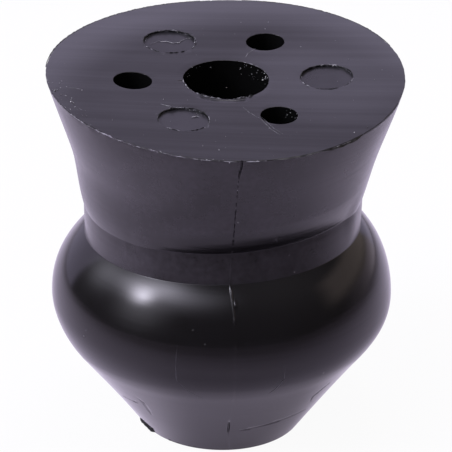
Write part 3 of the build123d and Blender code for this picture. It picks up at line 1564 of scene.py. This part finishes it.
@dataclass(frozen=True)
class BloomPatch:
    """A soft patch of wax bloom: its cover changes from one radius about a point to another.

    Lengths are in mm.
    """

    x: float
    y: float
    near: float
    far: float
    cover_near: float
    cover_far: float


@dataclass(frozen=True)
class MouldedRubber:
    """Black rubber as the mould leaves it: near black, satin, with a cool bloom."""

    effects: RubberEffects
    name: str = "moulded_rubber"
    base: Colour = (0.0058, 0.0052, 0.0055)
    bloom: Colour = (0.0085, 0.008, 0.009)
    roughness: float = 0.12
    bloom_roughness: float = 0.17
    specular_tint: Colour = (1.0, 0.97, 1.0)
    specular_level: float = 0.5
    cloud_scale: float = 45.0
    cloud_contrast: float = 2.2
    grain_height: float = 0.02 * MM
    grain_round: float = 900.0
    grain_break_up: float = 0.8

    def grain_place(self, nodes: Nodes) -> Socket:
        """Coordinates in which the grain's lines run round the axis.

        Args:
            nodes: builder for the material's nodes.

        Returns:
            The coordinates.
        """
        axes = nodes.add("ShaderNodeSeparateXYZ", Vector=nodes.spot()).outputs
        flat = nodes.add("ShaderNodeCombineXYZ", X=axes["X"], Y=axes["Y"]).outputs[0]
        ring = nodes.vector("MULTIPLY", nodes.vector("NORMALIZE", flat), (1.6, 1.6, 0.0))
        rise = nodes.maths("MULTIPLY", axes["Z"], self.grain_round)
        return nodes.vector("ADD", ring, nodes.add("ShaderNodeCombineXYZ", Z=rise).outputs[0])

    def cover(self, nodes: Nodes, grain: Socket) -> Socket:
        """How much of the surface the bloom covers, from 0 to 1.

        Args:
            nodes: builder for the material's nodes.
            grain: the grain's height, which this cover does not use.

        Returns:
            The share.
        """
        inputs = {"Place": nodes.spot(), "Cloud_Scale": self.cloud_scale, "Contrast": self.cloud_contrast}
        return nodes.limited(nodes.group(self.effects.bloom, **inputs))

    def material(self) -> bpy.types.Material:
        """Builds the material.

        Returns:
            The material.
        """
        material, nodes, shader = new_material(self.name)
        inputs = {"Place": self.grain_place(nodes), "Line_Scale": 1.0, "Break_Up": self.grain_break_up}
        grain = nodes.group(self.effects.grain, **inputs)
        cover = self.cover(nodes, grain)
        spread = nodes.maths("MULTIPLY", cover, self.bloom_roughness - self.roughness)
        nodes.fill(
            shader,
            Base_Color=nodes.mix(cover, self.base, self.bloom),
            Roughness=nodes.maths("ADD", spread, self.roughness),
            Specular_IOR_Level=self.specular_level,
            Specular_Tint=self.specular_tint,
            Normal=nodes.add("ShaderNodeBump", Height=grain, Distance=self.grain_height).outputs[0],
        )
        return material


@dataclass(frozen=True)
class SatinRubber(MouldedRubber):
    """The duller cone and neck; where the rubber drew in, the bloom is taken away, which paints shade in the
    hollow.
    """

    name: str = "satin_cone"
    base: Colour = (0.007, 0.0063, 0.007)
    bloom: Colour = (0.037, 0.0335, 0.04)
    roughness: float = 0.17
    bloom_roughness: float = 0.28
    grain_height: float = 0.03 * MM
    cloud_scale: float = 110.0
    cloud_contrast: float = 2.6
    painted_shade_from: float = 0.05
    painted_shade_to: float = 0.35

    def cover(self, nodes: Nodes, grain: Socket) -> Socket:
        """How much of the surface the bloom covers: clouds, but none in the hollow, where this paints shade.

        Args:
            nodes: builder for the material's nodes.
            grain: the grain's height.

        Returns:
            The share.
        """
        sunk = nodes.add("ShaderNodeAttribute")
        sunk.attribute_name = DRAWN_IN
        # Painted shade: no bloom in the hollow over the crease, so it renders darker.
        left = nodes.step(sunk.outputs["Fac"], self.painted_shade_from, self.painted_shade_to, 1.0, 0.0)
        return nodes.maths("MULTIPLY", super().cover(nodes, grain), left)


@dataclass(frozen=True)
class TrimmedRubber(MouldedRubber):
    """The head face: trimmed along one direction, with streaks and patches of bloom."""

    name: str = "trimmed_face"
    bloom: Colour = (0.085, 0.08, 0.098)
    roughness: float = 0.3
    bloom_roughness: float = 0.42
    grain_height: float = 0.012 * MM
    specular_level: float = 0.38
    streak_turn: float = math.radians(5.3)
    streak_scale: tuple[float, float, float] = (45.0, 3800.0, 3800.0)
    streak_middle: float = 0.6
    streak_cover: float = 0.17
    mottle_cover: float = 0.07
    patches: tuple[BloomPatch, ...] = (
        BloomPatch(24.0, 1.0, 9.0, 28.0, 0.42, 0.0),
        BloomPatch(3.0, -13.0, 33.0, 48.0, 0.0, 0.85),
        BloomPatch(-14.0, 6.0, 14.0, 36.0, 0.12, 0.0),
    )

    def grain_place(self, nodes: Nodes) -> Socket:
        """Coordinates in which the grain's lines run across the face."""
        return nodes.vector("MULTIPLY", nodes.spun_about_z(nodes.spot(), self.streak_turn), self.streak_scale)

    def cover(self, nodes: Nodes, grain: Socket) -> Socket:
        """How much of the face the bloom covers: clouds, patches and streaks.

        Args:
            nodes: builder for the material's nodes.
            grain: the grain's height.

        Returns:
            The share.
        """
        cover = nodes.maths("MULTIPLY", super().cover(nodes, grain), self.mottle_cover)
        flat = nodes.vector("MULTIPLY", nodes.spot(), (1.0, 1.0, 0.0))
        for patch in self.patches:
            away = nodes.vector("DISTANCE", flat, (patch.x * MM, patch.y * MM, 0.0))
            laid = nodes.step(away, patch.near * MM, patch.far * MM, patch.cover_near, patch.cover_far)
            cover = nodes.maths("ADD", cover, laid)
        streak = nodes.maths("SUBTRACT", grain, self.streak_middle)
        return nodes.limited(nodes.maths("ADD", cover, nodes.maths("MULTIPLY", streak, self.streak_cover)))


@dataclass(frozen=True)
class TornRubber:
    """Rubber that was torn or rubbed: rougher and paler."""

    name: str = "torn_rubber"
    dark: Colour = (0.03, 0.028, 0.032)
    pale: Colour = (0.4, 0.39, 0.43)
    roughness: float = 0.45
    roughness_spread: float = 0.2
    scale: float = 900.0
    pale_from: float = 0.43
    pale_to: float = 0.62

    def material(self) -> bpy.types.Material:
        """Builds the material.

        Returns:
            The material.
        """
        material, nodes, shader = new_material(self.name)
        spot, spread = nodes.spot(), self.roughness_spread
        patch = nodes.step(nodes.noise(spot, self.scale), self.pale_from, self.pale_to)
        fine = nodes.noise(spot, 2 * self.scale)
        rough = nodes.maths("MULTIPLY_ADD", fine, spread, self.roughness - spread / 2)
        nodes.fill(shader, Base_Color=nodes.mix(patch, self.dark, self.pale), Roughness=rough)
        return material


@dataclass(frozen=True)
class Glow:
    """A round bright spot of a panel: the more sharpness, the smaller it is."""

    azimuth: float
    elevation: float
    radiance: Colour
    sharpness: float


@dataclass(frozen=True)
class Panel:
    """A soft-edged bright field of the studio's surroundings, seen from the object.

    Azimuths are degrees clockwise from straight behind the object, as the camera sees it.
    """

    left: float
    right: float
    low: float
    high: float
    radiance: Colour
    left_soft: float = 5.0
    right_soft: float = 5.0
    end_soft: float = 5.0


@dataclass
class Studio:
    """White table and surroundings, a lamp overhead, and the telephoto camera."""

    camera_azimuth: float = -5.3
    camera_elevation: float = 28.48
    camera_roll: float = 1.01
    camera_distance: float = 1.5
    lens: float = 562.0
    sensor_width: float = 36.0
    clip_end: float = 20.0
    aim_level: float = 45.0 * MM
    aim_right: float = 0.52 * MM
    table_radius: float = 0.34
    # The near and far colours paint a pool of light on the table: darker away from its middle.
    table_near: Colour = (0.92, 0.83, 1.03)
    table_far_painted_shade: Colour = (0.24, 0.21, 0.24)
    table_centre: tuple[float, float, float] = (-0.012, 0.075, 0.0)
    table_bright: float = 0.085
    table_dim: float = 0.29
    table_seen: float = 0.95
    table_mirrored: float = 0.62
    # How bright the rubber mirrors the table is painted: a painted glow under the overhang and painted shade in
    # front.
    foot_glow_radius: float = 35.4 * MM
    foot_glow_edge: float = 0.02
    foot_glow: float = 1.34
    front_azimuth: float = 158.0
    front_turn: tuple[float, float] = (0.3, 0.85)
    front_reach: tuple[float, float] = (52 * MM, 80 * MM)
    front_shade_near: float = 0.64
    front_shade_far: float = 0.86
    white: Colour = (1.0, 1.0, 1.0)
    panels: tuple[Panel, ...] = (
        Panel(-58.0, 34.0, -90.0, 90.0, (0.54, 0.49, 0.7)),
        Panel(34.0, 66.0, -90.0, 3.0, (0.5, 0.42, 0.5), right_soft=60.0),
        Panel(6.0, 52.0, -60.0, -2.0, (0.26, 0.24, 0.28), right_soft=16.0),
        Panel(34.0, 100.0, 5.0, 29.0, (0.46, 0.38, 0.34), right_soft=20.0, end_soft=12.0),
    )
    glows: tuple[Glow, ...] = (
        Glow(-170.0, 44.0, (0.46, 0.46, 0.53), 40.0),
        Glow(-150.0, 44.0, (1.0, 1.0, 1.15), 40.0),
        Glow(-132.0, 45.0, (1.9, 1.9, 2.2), 40.0),
        Glow(-118.0, 46.0, (4.0, 4.0, 4.6), 50.0),
        Glow(-100.0, 42.0, (2.9, 2.9, 3.3), 55.0),
        Glow(-91.0, 34.0, (1.6, 1.6, 1.85), 60.0),
        Glow(-72.0, 27.0, (1.7, 1.7, 1.95), 40.0),
        Glow(-118.0, 22.0, (1.3, 1.3, 1.45), 25.0),
        Glow(-114.0, 30.5, (9.5, 9.5, 10.8), 200.0),
        Glow(-109.0, 34.5, (10.2, 10.2, 11.6), 110.0),
        Glow(120.0, 50.0, (0.15, 0.14, 0.15), 4.0),
    )
    room: Colour = (0.078, 0.072, 0.074)
    lamp_azimuth: float = 20.0
    lamp_elevation: float = 76.0
    lamp_distance: float = 0.6
    lamp_radius: float = 0.12
    lamp_radiance: float = 6.0

    def towards(self, azimuth: float, elevation: float) -> Vector:
        """Unit vector to a place round the object, in the frame's axes.

        Args:
            azimuth: degrees clockwise from straight behind the object, as the camera sees it.
            elevation: degrees above the table.

        Returns:
            The direction from the object.
        """
        turn = math.radians(90.0 - azimuth + self.camera_azimuth)
        rise = math.radians(elevation)
        return Vector((math.cos(rise) * math.cos(turn), math.cos(rise) * math.sin(turn), math.sin(rise)))

    def camera(self) -> None:
        """Places the camera at the photograph's angle."""
        data = bpy.data.cameras.new("camera")
        data.lens, data.sensor_width, data.clip_end = self.lens, self.sensor_width, self.clip_end
        camera = bpy.data.objects.new("camera", data)
        back = self.towards(180.0, self.camera_elevation)
        right = self.towards(90.0, 0.0)
        aim = right * self.aim_right + Vector((0.0, 0.0, self.aim_level))
        camera.matrix_world = (
            Matrix.Translation(aim + back * self.camera_distance)
            @ Matrix((right, back.cross(right), back)).transposed().to_4x4()
            @ Matrix.Rotation(math.radians(self.camera_roll), 4, "Z")
        )
        bpy.context.scene.collection.objects.link(camera)
        bpy.context.scene.camera = camera
        LOG.info("camera: lens %.0f mm at %.2f m", self.lens, self.camera_distance)

    def top_lamp(self) -> None:
        """The soft lamp above, which fills the table's light."""
        data = bpy.data.lights.new("top_lamp", "AREA")
        data.shape = "DISK"
        data.size = 2 * self.lamp_radius
        area = math.pi * self.lamp_radius**2
        data.energy = self.lamp_radiance * math.pi * area
        lamp = bpy.data.objects.new("top_lamp", data)
        back = self.towards(self.lamp_azimuth, self.lamp_elevation)
        lamp.location = back * self.lamp_distance
        lamp.rotation_euler = back.to_track_quat("Z", "Y").to_euler()
        bpy.context.scene.collection.objects.link(lamp)

    def table(self) -> None:
        """The round white table, which keeps the stopper's shadow; its colour darkens from the middle outwards,
        a painted pool of light.
        """
        shape = bmesh.new()
        bmesh.ops.create_circle(shape, cap_ends=True, segments=96, radius=self.table_radius)
        table = link_mesh("table", shape)
        material, nodes, _ = new_material("white_table")
        nodes.tree.nodes.clear()
        spot = nodes.spot()
        away = nodes.vector("DISTANCE", spot, self.table_centre)
        # Painted pool of light: the table's colour darkens from its middle outwards.
        fall = nodes.step(away, self.table_bright, self.table_dim)
        colour = nodes.mix(fall, self.table_near, self.table_far_painted_shade)
        seen = nodes.add("ShaderNodeLightPath").outputs
        # What the rubber mirrors of the table carries that painted glow and painted shade.
        in_rubber = nodes.scaled(colour, self.mirrored_painted_light(nodes, spot))
        shown = nodes.mix(seen["Is Camera Ray"], in_rubber, self.white)
        direct = nodes.maths("MULTIPLY", seen["Is Camera Ray"], self.table_seen)
        mirrored = nodes.maths("MULTIPLY", seen["Is Glossy Ray"], self.table_mirrored)
        mix = nodes.add("ShaderNodeMixShader", Fac=nodes.maths("MAXIMUM", direct, mirrored))
        nodes.feed(mix.inputs[1], nodes.add("ShaderNodeBsdfDiffuse", Color=colour).outputs[0])
        nodes.feed(mix.inputs[2], nodes.add("ShaderNodeEmission", Color=shown, Strength=1.0).outputs[0])
        nodes.add("ShaderNodeOutputMaterial", Surface=mix.outputs[0])
        table.data.materials.append(material)
        table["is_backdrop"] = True

    def mirrored_painted_light(self, nodes: Nodes, spot: Socket) -> Socket:
        """How bright the rubber mirrors the table: a painted glow under the overhang and painted shade in
        front.

        Args:
            nodes: builder for the table's nodes.
            spot: the place on the table.

        Returns:
            The share of the table's own brightness.
        """
        away = nodes.vector("LENGTH", spot)
        disc = self.foot_glow_radius
        edge = self.foot_glow_edge * disc
        under = nodes.step(away, disc - edge, disc + edge, self.foot_glow, 1.0)
        front = nodes.step(away, *self.front_reach, self.front_shade_near, self.front_shade_far)
        outwards = nodes.vector("NORMALIZE", spot)
        facing = nodes.vector("DOT_PRODUCT", outwards, self.towards(self.front_azimuth, 0.0))
        turned = nodes.step(facing, *self.front_turn)
        lost = nodes.maths("MULTIPLY", turned, nodes.maths("SUBTRACT", 1.0, front))
        return nodes.maths("MULTIPLY", under, nodes.maths("SUBTRACT", 1.0, lost))

    def panel_light(self, nodes: Nodes, azimuth: Socket, elevation: Socket, panel: Panel) -> Socket:
        """The light of one panel as a colour.

        Args:
            nodes: builder for the world's nodes.
            azimuth: the looked-at azimuth, in degrees.
            elevation: the looked-at elevation, in degrees.
            panel: the panel.

        Returns:
            The panel's radiance there.
        """
        middle, reach = (panel.left + panel.right) / 2, (panel.right - panel.left) / 2
        turned = nodes.maths("WRAP", nodes.maths("SUBTRACT", azimuth, middle), 180.0, -180.0)
        left = nodes.edge(turned, -reach, panel.left_soft)
        right = nodes.edge(turned, reach, panel.right_soft, True)
        low = nodes.edge(elevation, panel.low, panel.end_soft)
        high = nodes.edge(elevation, panel.high, panel.end_soft, True)
        across, upright = nodes.maths("MULTIPLY", left, right), nodes.maths("MULTIPLY", low, high)
        return nodes.scaled(panel.radiance, nodes.maths("MULTIPLY", across, upright))

    def glow_light(self, nodes: Nodes, direction: Socket, glow: Glow) -> Socket:
        """The light of one glow as a colour.

        Args:
            nodes: builder for the world's nodes.
            direction: the looked-at direction, turned so that Y points straight behind the object.
            glow: the glow.

        Returns:
            The glow's radiance there.
        """
        turn, rise = math.radians(glow.azimuth), math.radians(glow.elevation)
        middle = (math.cos(rise) * math.sin(turn), math.cos(rise) * math.cos(turn), math.sin(rise))
        near = nodes.maths("MAXIMUM", nodes.vector("DOT_PRODUCT", direction, middle), 0.0)
        return nodes.scaled(glow.radiance, nodes.maths("POWER", near, glow.sharpness))

    def world(self) -> None:
        """The surroundings: white to the camera, soft panels in a dim room to all else."""
        world = bpy.data.worlds.new("studio")
        world.use_nodes = True
        bpy.context.scene.world = world
        world.node_tree.nodes.clear()
        nodes = Nodes(world.node_tree)
        seen_from = nodes.add("ShaderNodeTexCoord").outputs["Generated"]
        direction = nodes.spun_about_z(seen_from, math.radians(-self.camera_azimuth))
        axes = nodes.add("ShaderNodeSeparateXYZ", Vector=direction).outputs
        azimuth = nodes.maths("MULTIPLY", nodes.maths("ARCTAN2", axes["X"], axes["Y"]), math.degrees(1.0))
        elevation = nodes.maths("MULTIPLY", nodes.maths("ARCSINE", axes["Z"]), math.degrees(1.0))
        lights = [self.panel_light(nodes, azimuth, elevation, panel) for panel in self.panels]
        lights += [self.glow_light(nodes, direction, glow) for glow in self.glows]
        light = self.room
        for source in lights:
            light = nodes.vector("ADD", light, source)
        seen = nodes.add("ShaderNodeLightPath").outputs["Is Camera Ray"]
        background = nodes.add("ShaderNodeBackground", Color=nodes.mix(seen, light, self.white))
        nodes.add("ShaderNodeOutputWorld", Surface=background.outputs[0])

    def build(self) -> None:
        """Sets the table, the surroundings, the lamp and the camera."""
        self.table()
        self.world()
        self.top_lamp()
        self.camera()


def write_sizes() -> None:
    """Lists the corners of the CAD box and the dressed model's box, and keeps neither."""
    boxes = {"cad": CAD_BOX, "visual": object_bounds()}
    {name: [list(corner) for corner in box] for name, box in boxes.items()}


def body_finishes(effects: RubberEffects, torn: TornRubber) -> dict[Finish, MouldedRubber | TornRubber]:
    """The body's finishes.

    Args:
        effects: the node groups that they share.
        torn: torn rubber as it is elsewhere.

    Returns:
        The finish of each slot.
    """
    side = MouldedRubber(effects)
    return {
        Finish.SIDE: side,
        Finish.FACE: TrimmedRubber(effects),
        Finish.PAD: replace(
            side, name="pin_pad", bloom=(0.03, 0.028, 0.035), roughness=0.24, bloom_roughness=0.34,
            specular_level=0.42,
        ),
        # The hole walls: a darker copy of the side's rubber, painted shade in the holes.
        Finish.WALL: replace(side, name="hole_wall_painted_shade", base=(0.004, 0.004, 0.004), bloom=(0.005, 0.005, 0.005)),
        Finish.EDGE: replace(
            torn, name="torn_mark_edge", dark=(0.006, 0.006, 0.007), pale=(0.1, 0.096, 0.11), scale=1300.0,
            pale_from=0.5, pale_to=0.64, roughness=0.35,
        ),
        Finish.CONE: SatinRubber(effects),
    }


def main() -> None:
    """Builds the stopper's pieces in order and sets them in the studio."""
    logging.basicConfig(level=logging.INFO, format="%(name)s %(message)s")
    bpy.context.scene.view_settings.view_transform = "Standard"
    outline = Outline()
    distortion = Distortion(outline)
    settle = distortion.settle()
    torn = TornRubber()
    finishes = body_finishes(RubberEffects(), torn)
    stopper = StopperBody(outline, distortion).dress(*(finishes[finish] for finish in Finish))
    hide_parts(NODE)
    # A darker copy of the torn rubber, which paints shade on the flash at the rim, the marks, the bore and the
    # foot.
    flash_painted_shade = replace(torn, name="flash_painted_shade", dark=(0.008,) * 3, pale=(0.03, 0.028, 0.032))
    TornFlash(outline, settle).dress(torn, flash_painted_shade)
    scuffed = replace(torn, name="scuffed_rubber", pale=(0.07, 0.068, 0.08))
    Scuffs("side_scuffs", outline, settle, SIDE_SCUFFS).dress(scuffed)
    rubbed = replace(torn, name="rubbed_face", dark=(0.08,) * 3, pale=(0.22, 0.215, 0.24))
    Scuffs("face_scuffs", outline, settle, FACE_SCUFFS).dress(rubbed)
    crumbs = replace(torn, name="crumbs", dark=(0.25, 0.25, 0.27), pale=(0.75, 0.73, 0.76), roughness=0.6)
    Dust(outline, settle).dress(crumbs)
    Studio().build()
    write_sizes()


if __name__ == "__main__":
    main()
